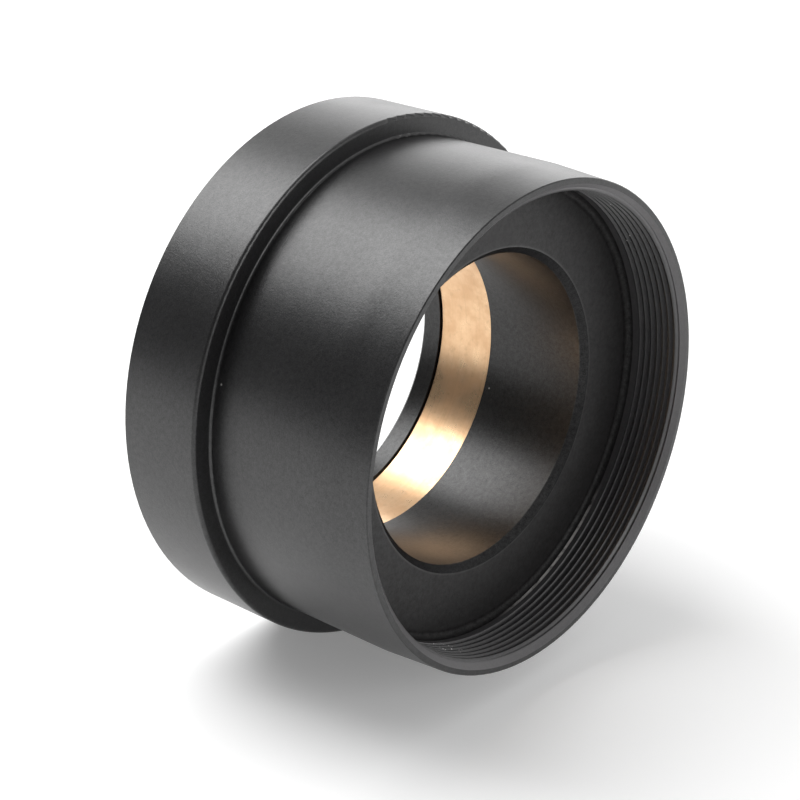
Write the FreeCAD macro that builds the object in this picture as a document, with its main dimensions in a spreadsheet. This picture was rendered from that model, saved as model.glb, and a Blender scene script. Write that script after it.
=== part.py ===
import FreeCAD, Part
import os
import re
import Sketcher

"""Eyepiece adapter, 2 inch to 1.25 inch, with a brass compression ring and a clamp screw.

Millimetres. The optical axis is +Y, from the filter-thread end towards the eyepiece. The
origin is the centre of the flange's front face, the shoulder that seats on a 2 inch holder.
The clamp screw lies along +X, and +Z is up.
"""

Vector = FreeCAD.Vector
doc = FreeCAD.newDocument("eyepiece_adapter")

# ---------------------------------------------------------------- driving dimensions
# Alias, value or formula, note. A formula uses only aliases above it.
SHEET = [
    # barrel and flange
    ("barrel_dia", 50.8, "2 inch barrel"),
    ("barrel_len", 19.7, "rim to flange"),
    ("lead_dia", 50.0, "barrel at the rim, where its lead-in cone is narrowest"),
    ("lead_len", 6.6, "rim to the wide end of the lead-in cone"),
    ("flange_dia", 55.1, "flange outside"),
    ("flange_thick", 9.9, "flange along the axis"),
    ("flange_front_round", 0.4, "flange edge, barrel side"),
    ("flange_back_cham", 0.3, "flange edge, eyepiece side"),
    ("root_fillet", 0.3, "corner between barrel and flange"),
    ("rim_cham", 0.1, "outer edge of the rim"),
    ("body_len", "=barrel_len+flange_thick", "rim to the back face"),
    # all threads
    ("flank_slope", "=tan(30 deg)", "half width gained per depth on a 60 degree thread"),
    ("thread_clear", 0.1, "thread cutter beyond the surface it starts from"),
    # filter thread M48 x 0.75
    ("filter_major", 48.0, "thread major diameter"),
    ("filter_minor", 47.2, "thread minor diameter"),
    ("filter_pitch", 0.75, "thread pitch"),
    ("filter_len", 5.4, "rim to the end of the thread"),
    ("filter_run_in", 0.9, "start of the helix in front of the rim"),
    ("filter_shift", 1, "cutter above its sketch origin, to keep coordinates positive"),
    ("filter_flat", 0.047, "half width of the thread's root"),
    ("filter_wide", "=filter_flat+(filter_major/2-filter_minor/2+thread_clear)*flank_slope",
     "half width of the cutter's open side"),
    ("filter_mouth", 48.8, "chamfer at the rim, widest"),
    ("shoulder_depth", 6.93, "rim to the shoulder"),
    ("shoulder_fillet", 0.7, "tool-nose radius in the shoulder's corner"),
    # eyepiece bore
    ("bore_dia", 32.1, "eyepiece bore"),
    ("bore_front_cham", 0.7, "bore mouth in the shoulder"),
    ("bore_back_cham", 0.5, "bore mouth in the back face"),
    # groove and compression ring
    ("groove_start", 19.6, "rim to the groove"),
    ("groove_width", 7.3, "groove along the axis"),
    ("groove_dia", 35.6, "groove floor"),
    ("groove_overcut", 1, "groove cutter inside the bore wall"),
    ("ring_inner", 32.6, "ring inside"),
    ("ring_wall", 0.9, "ring strip thickness"),
    ("ring_width", 7.1, "ring along the axis"),
    ("ring_edge", 0.12, "broken edge of the strip"),
    ("ring_slit", 1.6, "gap between the ring's ends"),
    ("ring_outer_radius", "=ring_inner/2+ring_wall", "ring outside, as a radius"),
    # clamp-screw hole M4 x 0.7
    ("screw_offset", 5.0, "flange face to the screw axis"),
    ("screw_place", "=barrel_len+screw_offset", "rim to the screw axis"),
    ("screw_pitch", 0.7, "thread pitch"),
    ("hole_minor", 3.3, "tapped hole, minor diameter"),
    ("hole_major", 4.1, "tapped hole, major diameter"),
    ("hole_csk", 0.5, "countersink at the flange surface"),
    ("csk_overcut", 0.5, "countersink cutter outside the flange"),
    ("thread_overrun", 1.2, "helix beyond the groove floor and beyond the flange"),
    ("thread_start", "=groove_dia/2-thread_overrun", "optical axis to the helix's start"),
    ("hole_flat", 0.1, "half width of the hole thread's root"),
    ("hole_wide", "=hole_flat+(hole_major/2-hole_minor/2+thread_clear)*flank_slope",
     "half width of the cutter's open side"),
    # thumbscrew stud
    ("stud_major", 3.9, "stud thread, major diameter"),
    ("stud_minor", 3.1, "stud thread, minor diameter"),
    ("stud_shank", 4.0, "plain shank in the head"),
    ("tip_gap", 0.03, "stud tip to the ring"),
    ("tip_dia", 2.4, "flat tip"),
    ("tip_cham", 0.7, "cone behind the tip"),
    ("stud_thread_len", 12.2, "threaded length with its tip"),
    ("relief_len", 0.8, "plain neck between thread and shank"),
    ("relief_reach", 1.2, "that neck with the cone that leads into it"),
    ("shank_len", 6.0, "shank held in the head"),
    ("shank_cham", 0.3, "outer end of the shank"),
    ("stud_len", "=stud_thread_len+shank_len", "whole stud"),
    ("stud_place", "=ring_outer_radius+tip_gap", "optical axis to the stud tip"),
    ("stud_crest", 0.044, "half width of the stud thread's crest"),
    ("stud_flat", "=screw_pitch/2-stud_crest-(stud_major/2-stud_minor/2)*flank_slope",
     "half width of the stud thread's root"),
    ("stud_wide", "=stud_flat+(stud_major/2-stud_minor/2+thread_clear)*flank_slope",
     "half width of the cutter's open side"),
    ("stud_shift", 2, "cutter beyond its sketch origin, to keep coordinates positive"),
    ("stud_helix_extra", 0.5, "helix height beyond the threaded length"),
    # thumbscrew head
    ("head_dia", 9.4, "knurled head"),
    ("head_len", 7.4, "head along the screw"),
    ("head_cham", 0.5, "head edges"),
    ("neck_dia", 6.2, "neck under the head"),
    ("neck_len", 1.1, "neck along the screw"),
    ("head_reach", "=neck_len+head_len", "neck and head together"),
    ("socket_depth", "=shank_len+0.2", "blind hole, a little deeper than the shank"),
    ("dimple_dia", 5.6, "shallow recess in the head's face"),
    ("dimple_depth", 0.35, "depth of that recess"),
    ("knurl_count", 40, "straight knurl grooves"),
    ("knurl_depth", 0.34, "knurl groove depth"),
    ("knurl_half", "=0.8*knurl_depth", "half width of the knurl cutter's open side"),
    ("knurl_clear", 0.1, "knurl cutter outside the head and before it"),
    ("knurl_len", "=head_len+0.3", "knurl cutter along the screw"),
    ("knurl_shift", 0.5, "cutter beside its sketch origin, to keep coordinates positive"),
]
sheet = doc.addObject("Spreadsheet::Sheet", "Params")
for row, (alias, content, note) in enumerate(SHEET, 1):
    sheet.set(f"A{row}", alias)
    sheet.set(f"B{row}", str(content))
    sheet.set(f"C{row}", note)
    sheet.setAlias(f"B{row}", alias)
doc.recompute()
sizes = {alias: float(sheet.get(alias)) for alias, _, _ in SHEET}


# ---------------------------------------------------------------- expressions
# Sizes below are texts such as "bore_dia/2+1": sums of products of aliases and numbers,
# without brackets.
def linked(text):
    """The text as a FreeCAD expression that refers to the sheet."""
    return re.sub(r"[a-z]\w*", r"Params.\g<0>", text)


def value(text):
    """The text as a number."""
    total = 0.0
    for sign, term in re.findall(r"([+-]?)([^+-]+)", text):
        product = -1.0 if sign == "-" else 1.0
        for operator, factor in re.findall(r"([*/]?)([^*/]+)", term):
            number = sizes[factor] if factor in sizes else float(factor)
            product = product / number if operator == "/" else product * number
        total += product
    return total


def bind(feature, prop, text):
    setattr(feature, prop, value(text))
    feature.setExpression(prop, linked(text))


def bind_place(item, prop, places):
    """Bind a placement without rotation; places maps x, y or z to a size text."""
    base = Vector(*(value(places.get(axis, "0")) for axis in "xyz"))
    setattr(item, prop, FreeCAD.Placement(base, FreeCAD.Rotation()))
    for axis, text in places.items():
        item.setExpression(f"{prop}.Base.{axis}", linked(text))


# ---------------------------------------------------------------- helpers
def new_body(name):
    body = doc.addObject("PartDesign::Body", name)
    body.Label = name
    return body


def finish(body, tip, **places):
    body.Tip = tip
    bind_place(body, "Placement", places)
    return body


def new_sketch(body, name, role, **offset):
    """An empty sketch on an origin plane, moved by an offset in the sketch's own axes."""
    sketch = body.newObject("Sketcher::SketchObject", name)
    support = next(item for item in body.Origin.OriginFeatures if item.Role == role)
    sketch.AttachmentSupport = [(support, "")]
    sketch.MapMode = "FlatFace"
    if offset:
        bind_place(sketch, "AttachmentOffset", offset)
    return sketch


def dimension(sketch, kind, args, text, label):
    index = sketch.addConstraint(Sketcher.Constraint(kind, *args, value(text)))
    sketch.renameConstraint(index, label)
    sketch.setExpression("Constraints." + label, linked(text))


def outline(sketch, points):
    """Draw a closed outline through (x, y) size texts, fully constrained.

    A coordinate whose text repeats the previous point's is held by Vertical or Horizontal,
    a zero by its axis, and any other by a dimension from the origin."""
    corners = [Vector(value(x), value(y), 0) for x, y in points]
    count = len(points)
    for i in range(count):
        sketch.addGeometry(Part.LineSegment(corners[i], corners[(i + 1) % count]), False)
    for i in range(count):
        sketch.addConstraint(Sketcher.Constraint("Coincident", i, 2, (i + 1) % count, 1))
    # column in the point, constraint along a segment, geometry index of the zero axis
    rules = (("x", 0, "Vertical", -2), ("y", 1, "Horizontal", -1))
    for i, point in enumerate(points):
        for letter, column, straight, zero_axis in rules:
            text = point[column]
            if i and points[i - 1][column] == text:
                sketch.addConstraint(Sketcher.Constraint(straight, i - 1))
            elif abs(value(text)) < 1e-9:
                sketch.addConstraint(Sketcher.Constraint("PointOnObject", i, 1, zero_axis))
            else:
                args = (-1, 1, i, 1)
                dimension(sketch, "Distance" + letter.upper(), args, text, f"{letter}{i}")
    return sketch


def revolve(body, sketch, axis, name, kind="PartDesign::Revolution"):
    feature = body.newObject(kind, name)
    feature.Profile = sketch
    feature.ReferenceAxis = (sketch, [axis])
    feature.Angle = 360.0
    doc.recompute()
    return feature


def pocket(body, sketch, name, kind, is_reversed):
    feature = body.newObject("PartDesign::Pocket", name)
    feature.Profile = sketch
    feature.Type = kind
    feature.Reversed = is_reversed
    return feature


def helical_cut(body, sketch, axis, name, pitch, height):
    feature = body.newObject("PartDesign::SubtractiveHelix", name)
    feature.Profile = sketch
    feature.ReferenceAxis = (sketch, [axis])
    feature.Mode = "pitch-height-angle"
    bind(feature, "Pitch", pitch)
    bind(feature, "Height", height)
    feature.Angle = 0.0
    feature.LeftHanded = False
    feature.Reversed = False
    return feature


def circle_edges(shape, radius, place):
    """Names of the circles of that radius round the Y axis, at that place along it."""
    axis = Vector(0, 1, 0)
    found = []
    for number, edge in enumerate(shape.Edges, 1):
        curve = edge.Curve
        if (
            isinstance(curve, Part.Circle)
            and abs(curve.Radius - radius) < 1e-4
            and abs(curve.Center.dot(axis) - place) < 1e-4
            and abs(abs(curve.Axis.dot(axis)) - 1) < 1e-6
        ):
            found.append(f"Edge{number}")
    if not found:
        raise RuntimeError(f"no edge of radius {radius} at {place}")
    return found


def check_cut(before, after, least):
    """A cut that misses leaves the volume as it was, so the loss in mm3 is measured."""
    doc.recompute()
    gone = before.Shape.Volume - after.Shape.Volume
    if gone < least:
        raise RuntimeError(f"{after.Label} removed {gone:.3f} mm3")
    return after


# ---------------------------------------------------------------- adapter body
def make_adapter():
    """Barrel and flange in one piece. Its own frame starts at the rim."""
    body = new_body("adapter_body")
    profile = outline(new_sketch(body, "turned_profile", "XY_Plane"), [
        ("filter_mouth/2", "0"),
        ("lead_dia/2-rim_cham", "0"),
        ("lead_dia/2", "rim_cham"),
        ("barrel_dia/2", "lead_len"),
        ("barrel_dia/2", "barrel_len"),
        ("flange_dia/2", "barrel_len"),
        ("flange_dia/2", "body_len"),
        ("bore_dia/2+bore_back_cham", "body_len"),
        ("bore_dia/2", "body_len-bore_back_cham"),
        ("bore_dia/2", "shoulder_depth+bore_front_cham"),
        ("bore_dia/2+bore_front_cham", "shoulder_depth"),
        ("filter_minor/2", "shoulder_depth"),
        ("filter_minor/2", "filter_mouth/2-filter_minor/2"),
    ])
    solid = revolve(body, profile, "V_Axis", "turned")

    # name, kind, edge radius, edge place from the rim, size property, size
    edge_work = [
        ("root_corner", "Fillet", "barrel_dia/2", "barrel_len", "Radius", "root_fillet"),
        ("flange_front_edge", "Fillet", "flange_dia/2", "barrel_len",
         "Radius", "flange_front_round"),
        ("flange_back_edge", "Chamfer", "flange_dia/2", "body_len", "Size", "flange_back_cham"),
        ("shoulder_corner", "Fillet", "filter_minor/2", "shoulder_depth",
         "Radius", "shoulder_fillet"),
    ]
    for name, kind, radius, place, prop, size in edge_work:
        edges = circle_edges(solid.Shape, value(radius), value(place))
        feature = body.newObject("PartDesign::" + kind, name)
        feature.Base = (solid, edges)
        bind(feature, prop, size)
        doc.recompute()
        solid = feature

    # groove that holds the compression ring
    groove_profile = outline(new_sketch(body, "ring_groove_profile", "XY_Plane"), [
        ("bore_dia/2-groove_overcut", "groove_start"),
        ("groove_dia/2", "groove_start"),
        ("groove_dia/2", "groove_start+groove_width"),
        ("bore_dia/2-groove_overcut", "groove_start+groove_width"),
    ])
    groove = revolve(body, groove_profile, "V_Axis", "ring_groove", "PartDesign::Groove")
    solid = check_cut(solid, groove, least=1000)

    # clamp-screw hole on the +X side, from the bore out through the flange
    circle = new_sketch(body, "clamp_hole_circle", "YZ_Plane")
    centre = Vector(value("screw_place"), 0, 0)
    circle.addGeometry(Part.Circle(centre, Vector(0, 0, 1), value("hole_minor/2")), False)
    circle.addConstraint(Sketcher.Constraint("PointOnObject", 0, 3, -1))
    dimension(circle, "DistanceX", (-1, 1, 0, 3), "screw_place", "along")
    dimension(circle, "Radius", (0,), "hole_minor/2", "radius")
    hole = pocket(body, circle, "clamp_hole", "ThroughAll", is_reversed=True)
    solid = check_cut(solid, hole, least=70)

    # countersink at the flange surface: a cone turned about the screw axis
    csk_sketch = new_sketch(body, "clamp_csk_profile", "XY_Plane", y="screw_place")
    outline(csk_sketch, [
        ("flange_dia/2-hole_csk", "0"),
        ("flange_dia/2+csk_overcut", "0"),
        ("flange_dia/2+csk_overcut", "hole_major/2+csk_overcut"),
        ("flange_dia/2-hole_csk", "hole_major/2-hole_csk"),
    ])
    csk = revolve(body, csk_sketch, "H_Axis", "clamp_csk", "PartDesign::Groove")
    solid = check_cut(solid, csk, least=0.5)

    # female M4 thread: a 60 degree groove swept along the screw axis
    hole_vee = new_sketch(body, "clamp_thread_profile", "XY_Plane", y="screw_place")
    outline(hole_vee, [
        ("thread_start-hole_wide", "hole_minor/2-thread_clear"),
        ("thread_start-hole_flat", "hole_major/2"),
        ("thread_start+hole_flat", "hole_major/2"),
        ("thread_start+hole_wide", "hole_minor/2-thread_clear"),
    ])
    hole_thread = helical_cut(
        body, hole_vee, "H_Axis", "clamp_thread", "screw_pitch",
        "flange_dia/2-groove_dia/2+2*thread_overrun",
    )
    solid = check_cut(solid, hole_thread, least=10)

    # female M48 thread, started in front of the rim; the wall behind it stays at the
    # minor diameter
    filter_vee = new_sketch(
        body, "filter_thread_profile", "XY_Plane", y="-filter_shift-filter_run_in"
    )
    outline(filter_vee, [
        ("filter_minor/2-thread_clear", "filter_shift-filter_wide"),
        ("filter_major/2", "filter_shift-filter_flat"),
        ("filter_major/2", "filter_shift+filter_flat"),
        ("filter_minor/2-thread_clear", "filter_shift+filter_wide"),
    ])
    filter_thread = helical_cut(
        body, filter_vee, "V_Axis", "filter_thread", "filter_pitch", "filter_len+filter_run_in"
    )
    check_cut(solid, filter_thread, least=100)
    return finish(body, filter_thread, y="-barrel_len")


# ---------------------------------------------------------------- compression ring
def make_ring():
    """A brass strip rolled to a split ring, loose in the groove until the screw presses it."""
    body = new_body("compression_ring")
    strip = outline(new_sketch(body, "strip_section", "XY_Plane"), [
        ("ring_inner/2+ring_edge", "0"),
        ("ring_outer_radius-ring_edge", "0"),
        ("ring_outer_radius", "ring_edge"),
        ("ring_outer_radius", "ring_width-ring_edge"),
        ("ring_outer_radius-ring_edge", "ring_width"),
        ("ring_inner/2+ring_edge", "ring_width"),
        ("ring_inner/2", "ring_width-ring_edge"),
        ("ring_inner/2", "ring_edge"),
    ])
    hoop = revolve(body, strip, "V_Axis", "hoop")

    # the slit is on the -X side, opposite the screw
    slit_sketch = outline(new_sketch(body, "slit_outline", "YZ_Plane", y="-ring_slit/2"), [
        ("0", "0"),
        ("ring_width", "0"),
        ("ring_width", "ring_slit"),
        ("0", "ring_slit"),
    ])
    slit = pocket(body, slit_sketch, "slit", "ThroughAll", is_reversed=False)
    check_cut(hoop, slit, least=5)
    # centred along the groove
    return finish(body, slit, y="groove_start+groove_width/2-ring_width/2-barrel_len")


# ---------------------------------------------------------------- thumbscrew stud
def make_stud():
    """The screw's threaded part. Its own frame starts at the tip, with its axis along +X."""
    body = new_body("thumbscrew_stud")
    profile = outline(new_sketch(body, "stud_profile", "XY_Plane"), [
        ("0", "0"),
        ("stud_len", "0"),
        ("stud_len", "stud_shank/2-shank_cham"),
        ("stud_len-shank_cham", "stud_shank/2"),
        ("stud_thread_len", "stud_shank/2"),
        ("stud_thread_len", "stud_minor/2"),
        ("stud_thread_len-relief_len", "stud_minor/2"),
        ("stud_thread_len-relief_reach", "stud_major/2"),
        ("tip_cham", "stud_major/2"),
        ("0", "tip_dia/2"),
    ])
    blank = revolve(body, profile, "H_Axis", "blank")

    # cut half a pitch away from the groove that the hole's thread follows
    vee = new_sketch(
        body, "stud_thread_profile", "XY_Plane",
        x="thread_start-stud_place-screw_pitch/2-stud_shift",
    )
    outline(vee, [
        ("stud_shift-stud_flat", "stud_minor/2"),
        ("stud_shift+stud_flat", "stud_minor/2"),
        ("stud_shift+stud_wide", "stud_major/2+thread_clear"),
        ("stud_shift-stud_wide", "stud_major/2+thread_clear"),
    ])
    thread = helical_cut(
        body, vee, "H_Axis", "stud_thread", "screw_pitch", "stud_thread_len+stud_helix_extra"
    )
    check_cut(blank, thread, least=10)
    return finish(body, thread, x="stud_place", y="screw_offset")


# ---------------------------------------------------------------- thumbscrew head
def make_head():
    """The knurled head. Its own frame starts at the neck's face, with its axis along +X."""
    body = new_body("thumbscrew_head")
    profile = outline(new_sketch(body, "head_profile", "XY_Plane"), [
        ("0", "stud_shank/2"),
        ("0", "neck_dia/2"),
        ("neck_len", "neck_dia/2"),
        ("neck_len", "head_dia/2-head_cham"),
        ("neck_len+head_cham", "head_dia/2"),
        ("head_reach-head_cham", "head_dia/2"),
        ("head_reach", "head_dia/2-head_cham"),
        ("head_reach", "dimple_dia/2"),
        ("head_reach-dimple_depth", "dimple_dia/2-dimple_depth"),
        ("head_reach-dimple_depth", "0"),
        ("socket_depth", "0"),
        ("socket_depth", "stud_shank/2"),
    ])
    knob = revolve(body, profile, "H_Axis", "knob")

    vee = new_sketch(body, "knurl_vee", "YZ_Plane", y="-knurl_shift", z="neck_len-knurl_clear")
    outline(vee, [
        ("head_dia/2-knurl_depth", "knurl_shift"),
        ("head_dia/2+knurl_clear", "knurl_shift-knurl_half"),
        ("head_dia/2+knurl_clear", "knurl_shift+knurl_half"),
    ])
    groove = pocket(body, vee, "knurl_groove", "Length", is_reversed=True)
    bind(groove, "Length", "knurl_len")
    check_cut(knob, groove, least=0.3)

    knurl = body.newObject("PartDesign::PolarPattern", "knurl")
    knurl.Originals = [groove]
    knurl.Axis = (profile, ["H_Axis"])
    knurl.Angle = 360.0
    knurl.Occurrences = int(sizes["knurl_count"])
    knurl.setExpression("Occurrences", linked("knurl_count"))
    body.Tip = knurl
    check_cut(knob, knurl, least=12)
    return finish(body, knurl, x="stud_place+stud_thread_len", y="screw_offset")


# ---------------------------------------------------------------- check and write
pieces = [make_adapter(), make_ring(), make_stud(), make_head()]
doc.recompute()
for item in doc.Objects:
    if "Invalid" in item.State or "Error" in item.State:
        raise RuntimeError(f"{item.Label} failed: {item.State}")
for piece in pieces:
    shape = piece.Shape
    if shape.isNull() or not shape.isValid() or len(shape.Solids) != 1 or shape.Volume <= 0:
        raise RuntimeError(f"{piece.Label} has a bad shape")
os.makedirs("parts", exist_ok=True)
for piece in pieces:
    piece.Shape.exportStep(f"parts/{piece.Label}.step")
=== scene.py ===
# A black anodised eyepiece adapter with a brass compression ring and a thumbscrew.
# The body is turned about the Y axis, its filter thread at the -Y end; the thumbscrew's
# axis runs along X. The adapter lies on its side on a pale floor, +Z up, in metres.
import math
from types import SimpleNamespace

import bpy
from mathutils import Matrix, Vector

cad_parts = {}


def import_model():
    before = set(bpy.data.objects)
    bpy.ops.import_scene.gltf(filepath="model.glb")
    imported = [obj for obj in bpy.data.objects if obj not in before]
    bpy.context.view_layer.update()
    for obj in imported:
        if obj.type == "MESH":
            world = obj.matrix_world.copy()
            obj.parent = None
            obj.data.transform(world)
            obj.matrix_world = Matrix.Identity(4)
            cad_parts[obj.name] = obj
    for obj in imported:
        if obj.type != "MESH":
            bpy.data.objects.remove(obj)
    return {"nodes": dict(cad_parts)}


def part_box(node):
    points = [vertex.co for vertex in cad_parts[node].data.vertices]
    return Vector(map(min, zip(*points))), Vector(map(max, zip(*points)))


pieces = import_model()["nodes"]
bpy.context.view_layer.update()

scene = bpy.context.scene
scene.view_settings.view_transform = "Standard"
scene.view_settings.look = "None"

body_lo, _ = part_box("adapter_body")
screw_lo, screw_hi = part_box("thumbscrew_head")

RIM_Y = body_lo.y                    # filter-thread end
SHOULDER_Y = RIM_Y + 0.00693         # face that the bore opens in
THREAD_END = RIM_Y + 0.0054
CORNER_Y = THREAD_END + 0.00082      # where the plain wall past the thread meets the shoulder
THREAD_FOOT_R = 0.02350              # radius at which the thread and the plain wall begin
SCREW_Y = (screw_lo.y + screw_hi.y) / 2
SMOOTH_ANGLE = 38.0                  # edges sharper than this stay sharp, degrees
FLOOR_Z = body_lo.z - 0.00005
FLOOR_R = 6.0


# ------------------------------------------------------------------ node helpers
class Net:
    """A short way to write a node tree. A tuple put on a socket is an opaque RGB colour."""

    def __init__(self, tree):
        self.tree = tree

    def put(self, socket, value):
        if hasattr(value, "is_output"):
            self.tree.links.new(value, socket)
        else:
            socket.default_value = (*value, 1) if isinstance(value, tuple) else value

    def fill(self, node, inputs):
        for key, value in inputs.items():
            self.put(node.inputs[key], value)

    def node(self, kind, inputs=None, **settings):
        node = self.tree.nodes.new(kind)
        for key, value in settings.items():
            setattr(node, key, value)
        self.fill(node, inputs or {})
        return node

    def math(self, operation, a, b=0.0, clamp=False):
        inputs = {0: a, 1: b}
        return self.node("ShaderNodeMath", inputs, operation=operation, use_clamp=clamp).outputs[0]

    def add(self, a, b, clamp=False):
        return self.math("ADD", a, b, clamp)

    def sub(self, a, b, clamp=False):
        return self.math("SUBTRACT", a, b, clamp)

    def mul(self, a, by):
        return self.math("MULTIPLY", a, by)

    def sway(self, noise, amount):
        """Noise centred on zero and scaled."""
        return self.mul(self.sub(noise, 0.5), by=amount)

    def distance(self, a, b, operation="SUBTRACT"):
        return self.math("ABSOLUTE", self.math(operation, a, b))

    def ramp(self, value, start, end, low=0.0, high=1.0):
        """Smooth step from low at start to high at end; start may exceed end."""
        node = self.node("ShaderNodeMapRange", interpolation_type="SMOOTHSTEP")
        self.fill(node, {"Value": value, "From Min": start, "From Max": end,
                         "To Min": low, "To Max": high})
        return node.outputs["Result"]

    def noise(self, vector, scale, detail=2.0, rough=0.5):
        return self.node("ShaderNodeTexNoise", {
            "Vector": vector, "Scale": scale, "Detail": detail, "Roughness": rough,
        }).outputs["Fac"]

    def specks(self, vector, scale, share, size):
        """Round dots in the given share of the Voronoi cells."""
        cells = self.node("ShaderNodeTexVoronoi", {"Vector": vector, "Scale": scale}, feature="F1")
        pick = self.node("ShaderNodeSeparateColor", {0: cells.outputs["Color"]}).outputs[0]
        dot = self.ramp(cells.outputs["Distance"], start=size, end=size * 0.5)
        return self.mul(dot, self.math("GREATER_THAN", pick, 1.0 - share))

    def mix(self, factor, a, b):
        return self.node("ShaderNodeMix", {0: factor, 6: a, 7: b}, data_type="RGBA").outputs[2]

    def split(self, vector):
        return self.node("ShaderNodeSeparateXYZ", {0: vector}).outputs

    def combine(self, x, y, z=0.0):
        return self.node("ShaderNodeCombineXYZ", {0: x, 1: y, 2: z}).outputs[0]

    def bump(self, height, distance, strength=1.0, normal=None):
        inputs = {"Height": height, "Distance": distance, "Strength": strength}
        if normal is not None:
            inputs["Normal"] = normal
        return self.node("ShaderNodeBump", inputs).outputs[0]

    def off_axis(self, across, z, axis_at=0.0):
        """Offsets from a turning axis that lies at height zero."""
        return self.sub(across, axis_at), self.sub(z, 0.0)

    def radius(self, across, z):
        return self.math("SQRT", self.add(self.mul(across, across), self.mul(z, z)))

    def angle(self, across, z):
        return self.math("ARCTAN2", z, across)


def plain_material(name):
    material = bpy.data.materials.new(name)
    material.use_nodes = True
    return material, Net(material.node_tree), material.node_tree.nodes["Principled BSDF"]


def new_material(name):
    material, net, bsdf = plain_material(name)
    place = net.node("ShaderNodeTexCoord").outputs["Object"]
    return material, net, bsdf, place, net.split(place)


# ------------------------------------------------------------------ black anodised body
def body_zones(net, r, y):
    """Masks of the body's surfaces, from the radius and the place along the axis."""
    # the barrel on the -Y side of the shoulder
    inside = net.mul(net.ramp(r, start=0.02442, end=0.02438),
                     net.ramp(y, start=SHOULDER_Y + 0.00004, end=SHOULDER_Y + 0.00001))
    # the wall of the bore, then the chamfer at its mouth
    bore = net.mul(net.ramp(r, start=0.01645, end=0.0163),
                   net.ramp(y, start=SHOULDER_Y + 0.00061, end=SHOULDER_Y + 0.00073))
    mouth = net.mul(net.ramp(r, start=0.01676, end=0.01672), net.sub(1.0, bore))
    mouth = net.mul(mouth, net.ramp(y, start=SHOULDER_Y + 0.0012, end=SHOULDER_Y + 0.0010))
    # the thread, then the plain wall between it and the shoulder
    before_end = net.ramp(y, start=THREAD_END + 0.0002, end=THREAD_END)
    threads = net.mul(net.ramp(r, start=THREAD_FOOT_R, end=0.02356), net.mul(inside, before_end))
    wall_length = net.mul(net.ramp(y, start=THREAD_END, end=THREAD_END + 0.0002),
                          net.ramp(y, start=THREAD_END + 0.00092, end=THREAD_END + 0.00080))
    wall = net.mul(net.ramp(r, start=THREAD_FOOT_R, end=0.02357), net.mul(inside, wall_length))
    shoulder = net.mul(net.sub(inside, net.add(threads, wall, clamp=True), clamp=True),
                       net.ramp(r, start=0.0168, end=0.0170))
    return SimpleNamespace(inside=inside, bore=bore, mouth=mouth, threads=threads,
                           wall=wall, shoulder=shoulder)


def body_bare_spots_and_highlight(net, place, r, y, angle, zone):
    """Mask of the bright spots of uncoated metal, with a painted highlight line along the corner
    between wall and shoulder.
    """
    spots = net.mul(net.specks(place, scale=330.0, share=0.03, size=0.05), by=0.5)
    # chips on the thread crests
    chips = net.mul(net.specks(place, scale=1500.0, share=0.05, size=0.16), zone.threads)
    chips = net.mul(chips, net.ramp(r, start=0.0238, end=0.0237))
    spots = net.math("MAXIMUM", spots, chips)
    # a pinch of swarf on the thread, low in the barrel
    swarf_length = net.mul(net.ramp(y, start=RIM_Y + 0.0060, end=RIM_Y + 0.0054),
                           net.ramp(y, start=RIM_Y + 0.0026, end=RIM_Y + 0.0034))
    swarf_arc = net.distance(angle, math.radians(111.5), "ADD")      # centred on -111.5 degrees
    swarf = net.mul(net.ramp(swarf_arc, start=0.085, end=0.03),
                    net.mul(zone.inside, swarf_length))
    grains = net.specks(place, scale=4200.0, share=0.45, size=0.42)
    spots = net.math("MAXIMUM", spots, net.mul(grains, swarf))
    # painted highlight: a bright line along part of the corner between wall and shoulder, kept to
    # the arc around -62 degrees where light catches that edge, in the same light metal colour as
    # the spots
    corner = net.ramp(net.distance(y, CORNER_Y), start=0.00019, end=0.00010)
    wear_and_highlight = net.mul(zone.inside, corner)
    highlight_arc = net.distance(angle, math.radians(62.0), "ADD")        # centred on -62 degrees
    wear_and_highlight = net.mul(wear_and_highlight, net.ramp(highlight_arc, start=0.46, end=0.10))
    patches = net.noise(place, scale=700.0, detail=3.0, rough=0.7)
    wear_and_highlight = net.mul(wear_and_highlight, net.ramp(patches, start=0.30, end=0.52))
    # the painted highlight line joins the spots at nine tenths strength
    return net.math("MAXIMUM", spots, net.mul(wear_and_highlight, by=0.9))


def body_colour(net, r, fine, broad, zone, bare_and_highlight):
    dark, light = (0.0046, 0.0044, 0.0049), (0.0064, 0.0062, 0.0068)
    grain = (0.0090, 0.0088, 0.0094)
    inside, bore = (0.0060, 0.0053, 0.0055), (0.0052, 0.0048, 0.0047)
    # painted fill light: the thread and the plain wall past it get tones many times lighter than
    # the anodised black, standing in for light that falls short in the barrel's recess, with the
    # thread roots lighter than its crests
    thread_crest_painted_light, thread_root_painted_light = (0.0200, 0.0192, 0.0200), (0.0900, 0.0870, 0.0900)
    wall = (0.0520, 0.0500, 0.0520)
    # light metal tone of the uncoated spots, also used for the painted highlight line at the
    # corner
    spot_and_highlight_tone = (0.66, 0.64, 0.62)

    tone = net.mix(net.ramp(broad, start=0.3, end=0.7), dark, light)
    tone = net.mix(net.ramp(fine, start=0.35, end=0.72), tone, grain)
    tone = net.mix(zone.inside, tone, inside)
    # mixing in the painted fill light, lighter from the thread crests towards the roots, then the
    # plain wall
    depth = net.ramp(r, start=0.02364, end=0.02392)
    tone = net.mix(zone.threads, tone, net.mix(depth, thread_crest_painted_light, thread_root_painted_light))
    tone = net.mix(zone.wall, tone, wall)
    tone = net.mix(zone.bore, tone, bore)
    return net.mix(bare_and_highlight, tone, spot_and_highlight_tone)


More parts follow.
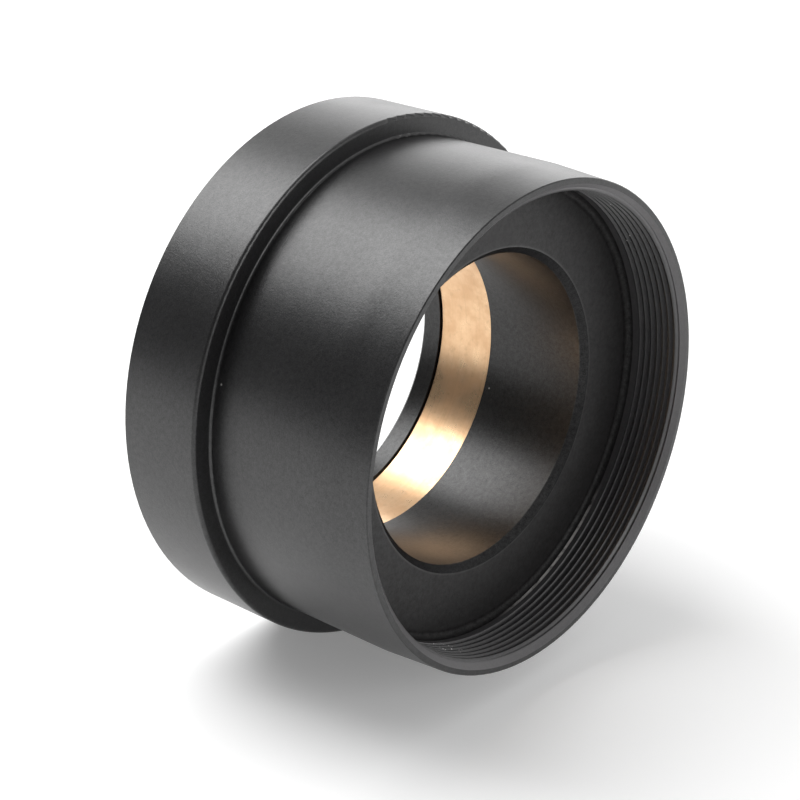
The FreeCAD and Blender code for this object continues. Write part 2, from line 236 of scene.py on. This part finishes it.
def body_roughness(net, fine, broad, zone):
    rough = net.ramp(broad, start=0.25, end=0.75, low=0.325, high=0.365)
    rough = net.add(rough, net.sway(fine, amount=0.12))
    rough = net.add(rough, net.mul(zone.shoulder, by=0.16))
    rough = net.add(rough, net.mul(zone.threads, by=0.06))
    rough = net.sub(rough, net.mul(zone.bore, by=0.03))
    return net.add(rough, net.mul(zone.mouth, by=0.05), clamp=True)


def body_specular(net, r, fine, mid, zone):
    base_level = 0.52
    shoulder_rim = net.mul(zone.shoulder, net.ramp(r, start=0.0226, end=0.0230))
    level = net.sub(base_level, net.add(net.mul(zone.bore, by=0.11),
                                        net.mul(shoulder_rim, by=0.22)))
    level = net.add(level, net.sway(fine, amount=0.36))
    level = net.add(level, net.sway(mid, amount=0.28))
    level = net.sub(level, net.mul(zone.shoulder, by=0.12))
    return net.sub(level, net.mul(zone.mouth, by=0.30))


def body_material():
    material, net, bsdf, place, xyz = new_material("black_anodised_body")
    y = xyz[1]
    offsets = net.off_axis(xyz[0], xyz[2])
    r, angle = net.radius(*offsets), net.angle(*offsets)
    zone = body_zones(net, r, y)

    fine = net.noise(place, scale=7000.0, rough=0.6)       # bead-blast grain, about 0.14 mm
    mid = net.noise(place, scale=2300.0)
    broad = net.noise(place, scale=130.0, detail=3.0)      # handling marks, about 8 mm
    # turning marks run round the axis and hardly vary with the angle
    path = net.combine(r, y, net.mul(angle, by=0.00004))
    rings = net.noise(path, scale=11000.0, rough=0.7)

    grain = net.bump(fine, distance=0.000014)
    grain = net.bump(mid, distance=0.000007, strength=0.6, normal=grain)
    everywhere = 0.12                                      # least depth of the turning marks
    ring_depth = net.add(net.mul(zone.shoulder, by=0.8),
                         net.add(net.mul(zone.bore, by=0.25), everywhere))
    # spots, chips and swarf, with the painted highlight line at the corner
    bare_and_highlight = body_bare_spots_and_highlight(net, place, r, y, angle, zone)
    net.fill(bsdf, {
        "Base Color": body_colour(net, r, fine, broad, zone, bare_and_highlight),
        "Roughness": body_roughness(net, fine, broad, zone),
        "IOR": 1.60,
        "Specular IOR Level": body_specular(net, r, fine, mid, zone),
        "Normal": net.bump(net.mul(rings, ring_depth), distance=0.0000025, normal=grain),
    })
    return material


# ------------------------------------------------------------------ brass ring
def ring_material():
    material, net, bsdf, place, xyz = new_material("ring_brass_strip")
    pale, stained = (0.78, 0.530, 0.320), (0.68, 0.430, 0.245)
    line, cloud, spot = (0.52, 0.33, 0.19), (0.46, 0.29, 0.17), (0.40, 0.25, 0.13)
    y = xyz[1]
    angle = net.angle(*net.off_axis(xyz[0], xyz[2]))

    # hairlines and broader lines drawn round the strip
    hair_path = net.combine(net.mul(y, by=1.0), net.mul(angle, by=0.0003))
    hair = net.noise(hair_path, scale=16000.0, detail=3.0, rough=0.7)
    line_path = net.combine(y, net.mul(angle, by=0.0002))
    lines = net.noise(line_path, scale=5200.0, detail=3.0, rough=0.7)
    stain = net.noise(place, scale=420.0, detail=4.0, rough=0.6)
    clouds = net.noise(place, scale=1100.0, detail=4.0, rough=0.65)
    spots = net.noise(place, scale=2300.0)

    colour = net.mix(net.ramp(stain, start=0.35, end=0.68), pale, stained)
    # noise, where it starts and ends to show, strength, colour
    for noise, start, end, strength, tint in (
        (lines, 0.50, 0.72, 0.30, line),
        (clouds, 0.54, 0.70, 0.30, cloud),
        (spots, 0.66, 0.78, 0.22, spot),
    ):
        colour = net.mix(net.mul(net.ramp(noise, start, end), by=strength), colour, tint)

    rough = net.ramp(stain, start=0.3, end=0.75, low=0.27, high=0.36)
    hair_bump = net.bump(hair, distance=0.0000010, strength=0.5)
    net.fill(bsdf, {
        "Base Color": colour,
        "Metallic": 1.0,
        "Roughness": net.add(rough, net.sway(hair, amount=0.10)),
        "Normal": net.bump(spots, distance=0.0000012, strength=0.25, normal=hair_bump),
    })
    return material


# ------------------------------------------------------------------ thumbscrew
def head_material():
    material, net, bsdf, place, xyz = new_material("black_anodised_head")
    dark, light, worn_tone = (0.011, 0.011, 0.012), (0.018, 0.018, 0.020), (0.11, 0.11, 0.115)
    r = net.radius(*net.off_axis(xyz[1], xyz[2], axis_at=SCREW_Y))

    fine = net.noise(place, scale=9000.0, rough=0.6)
    rings = net.noise(net.combine(r, xyz[0]), scale=14000.0, rough=0.6)
    patches = net.noise(place, scale=1900.0, detail=3.0, rough=0.6)
    wear_and_highlight = net.mul(net.ramp(r, start=0.00455, end=0.00470),
                   net.ramp(patches, start=0.48, end=0.68))
    rough = net.ramp(fine, start=0.3, end=0.7, low=0.32, high=0.42)
    grain = net.bump(fine, distance=0.000002, strength=0.5)
    net.fill(bsdf, {
        "Base Color": net.mix(net.mul(wear_and_highlight, by=0.5), net.mix(fine, dark, light), worn_tone),
        "Roughness": net.add(rough, net.mul(wear_and_highlight, by=-0.06)),
        "IOR": 1.6,
        "Normal": net.bump(rings, distance=0.000002, strength=0.7, normal=grain),
    })
    return material


def stud_material():
    material, net, bsdf, place, xyz = new_material("stud_plated_steel")
    bright, dull = (0.50, 0.50, 0.51), (0.36, 0.355, 0.35)
    r = net.radius(*net.off_axis(xyz[1], xyz[2], axis_at=SCREW_Y))

    fine = net.noise(place, scale=7000.0, detail=3.0, rough=0.6)
    marks = net.noise(net.combine(r, xyz[0]), scale=15000.0, rough=0.6)
    net.fill(bsdf, {
        "Base Color": net.mix(net.ramp(fine, start=0.3, end=0.75), bright, dull),
        "Metallic": 1.0,
        "Roughness": net.ramp(fine, start=0.25, end=0.75, low=0.24, high=0.40),
        "Normal": net.bump(marks, distance=0.0000018, strength=0.8),
    })
    return material


# ------------------------------------------------------------------ shading of the turned solids
def smooth_tree(degrees):
    """Joins the facets' shared corners and shades them smoothly up to an edge angle."""
    group = bpy.data.node_groups.new("smooth_turned", "GeometryNodeTree")
    for way in ("INPUT", "OUTPUT"):
        group.interface.new_socket("Geometry", in_out=way, socket_type="NodeSocketGeometry")
    net = Net(group)
    source = net.node("NodeGroupInput")
    target = net.node("NodeGroupOutput")
    clear = net.node("GeometryNodeRemoveAttribute",
                     {"Geometry": source.outputs[0], "Name": "custom_normal"})
    merge = net.node("GeometryNodeMergeByDistance",
                     {"Geometry": clear.outputs[0], "Distance": 1e-7})
    faces = net.node("GeometryNodeSetShadeSmooth",
                     {"Geometry": merge.outputs[0], "Shade Smooth": True}, domain="FACE")
    edge_angle = net.node("GeometryNodeInputMeshEdgeAngle").outputs["Unsigned Angle"]
    soft = net.node("FunctionNodeCompare", {0: edge_angle, 1: math.radians(degrees)},
                    data_type="FLOAT", operation="LESS_THAN").outputs["Result"]
    edges = net.node("GeometryNodeSetShadeSmooth",
                     {"Geometry": faces.outputs[0], "Shade Smooth": soft}, domain="EDGE")
    net.put(target.inputs[0], edges.outputs[0])
    return group


def dress(piece, material, smoothing):
    if not piece.material_slots:
        piece.data.materials.append(material)
    for slot in piece.material_slots:
        slot.material = material
    piece.modifiers.new("smooth", "NODES").node_group = smoothing
    weighted = piece.modifiers.new("weighted", "WEIGHTED_NORMAL")
    weighted.keep_sharp = True
    weighted.weight = 90


smoothing = smooth_tree(SMOOTH_ANGLE)
for name, make_material in (
    ("adapter_body", body_material),
    ("compression_ring", ring_material),
    ("thumbscrew_head", head_material),
    ("thumbscrew_stud", stud_material),
):
    dress(pieces[name], make_material(), smoothing)


# ------------------------------------------------------------------ floor
def disc(name, radius, rings, sides, z):
    """A flat disc whose rings are closer together towards the centre."""
    verts = [(0, 0, z)]
    for i in range(1, rings + 1):
        ring_r = radius * (i / rings) ** 2
        for k in range(sides):
            angle = 2 * math.pi * k / sides
            verts.append((ring_r * math.cos(angle), ring_r * math.sin(angle), z))
    faces = [(0, 1 + k, 1 + (k + 1) % sides) for k in range(sides)]
    for i in range(1, rings):
        inner, outer = 1 + (i - 1) * sides, 1 + i * sides
        for k in range(sides):
            after = (k + 1) % sides
            faces.append((inner + k, outer + k, outer + after, inner + after))
    mesh = bpy.data.meshes.new(name)
    mesh.from_pydata(verts, [], faces)
    item = bpy.data.objects.new(name, mesh)
    scene.collection.objects.link(item)
    return item


def floor_material():
    material, net, bsdf = plain_material("floor_pale")
    net.fill(bsdf, {
        "Base Color": (0.90, 0.90, 0.90),
        "Roughness": 0.9,
        "Specular IOR Level": 0.1,
        "Emission Color": (1, 1, 1),
        "Emission Strength": 0.20,       # an evenly lit table, the same all over
    })
    return material


floor = disc("floor", radius=FLOOR_R, rings=12, sides=64, z=FLOOR_Z)
floor.data.materials.append(floor_material())


# ------------------------------------------------------------------ light
def direction(azimuth, elevation):
    """Unit vector; azimuth runs from -Y towards +X, both angles in degrees."""
    a, e = math.radians(azimuth), math.radians(elevation)
    return Vector((math.sin(a) * math.cos(e), -math.cos(a) * math.cos(e), math.sin(e)))


def softbox(name, azimuth, elevation, distance, width, height, radiance):
    """A rectangular area light that faces the origin."""
    lamp = bpy.data.lights.new(name, "AREA")
    lamp.shape = "RECTANGLE"
    lamp.size, lamp.size_y = width, height
    lamp.energy = radiance * math.pi * width * height
    lamp.color = (1, 1, 1)
    item = bpy.data.objects.new(name, lamp)
    away = direction(azimuth, elevation)
    item.location = away * distance
    item.rotation_mode = "QUATERNION"
    item.rotation_quaternion = away.to_track_quat("Z", "Y")
    scene.collection.objects.link(item)


def white_room():
    """A white room, brightest beyond the object, with a dim side around azimuth -112."""
    world = bpy.data.worlds.new("studio")
    scene.world = world
    world.use_nodes = True
    net = Net(world.node_tree)
    view = net.node("ShaderNodeTexCoord").outputs["Generated"]

    def toward(azimuth, elevation):
        return net.node("ShaderNodeVectorMath", {0: view, 1: direction(azimuth, elevation)},
                        operation="DOT_PRODUCT").outputs["Value"]

    dim_side, far_side = toward(azimuth=-112, elevation=16), toward(azimuth=127, elevation=5)
    glow = toward(azimuth=129, elevation=4)
    level = net.ramp(dim_side, start=-0.25, end=0.75, low=1.0, high=0.20)
    level = net.mul(level, net.ramp(far_side, start=-0.9, end=0.9, low=0.55, high=1.0))
    up = net.split(view)[2]
    level = net.mul(level, net.ramp(up, start=0.25, end=0.65, low=1.0, high=0.70))
    level = net.add(level, net.ramp(glow, start=0.84, end=0.985, low=0.0, high=1.7))
    net.fill(world.node_tree.nodes["Background"], {"Color": (1, 1, 1), "Strength": level})


softbox("softbox_top", azimuth=-165, elevation=61, distance=0.60,
        width=0.38, height=0.60, radiance=5.5)
softbox("softbox_front", azimuth=9, elevation=18, distance=0.80,
        width=0.34, height=0.28, radiance=5.0)
white_room()


# ------------------------------------------------------------------ camera
def add_camera():
    place = Vector((-0.14552919, -0.13162858, 0.08223809))
    right = Vector((0.66652008, -0.74548708, 0.0))
    up = Vector((0.29263849, 0.26164026, 0.91973207))
    back = Vector((-0.68564838, -0.61301989, 0.3925467))
    lens = bpy.data.cameras.new("camera")
    lens.sensor_fit = "HORIZONTAL"
    lens.sensor_width = 36.0             # mm, as is the focal length
    lens.lens = 93.1229055
    lens.shift_x, lens.shift_y = -0.00223, -0.00906
    lens.clip_start, lens.clip_end = 0.01, 20.0
    camera = bpy.data.objects.new("camera", lens)
    turn = Matrix((right, up, back)).transposed().to_4x4()
    camera.matrix_world = Matrix.Translation(place) @ turn
    scene.collection.objects.link(camera)
    scene.camera = camera


add_camera()

bpy.context.view_layer.update()
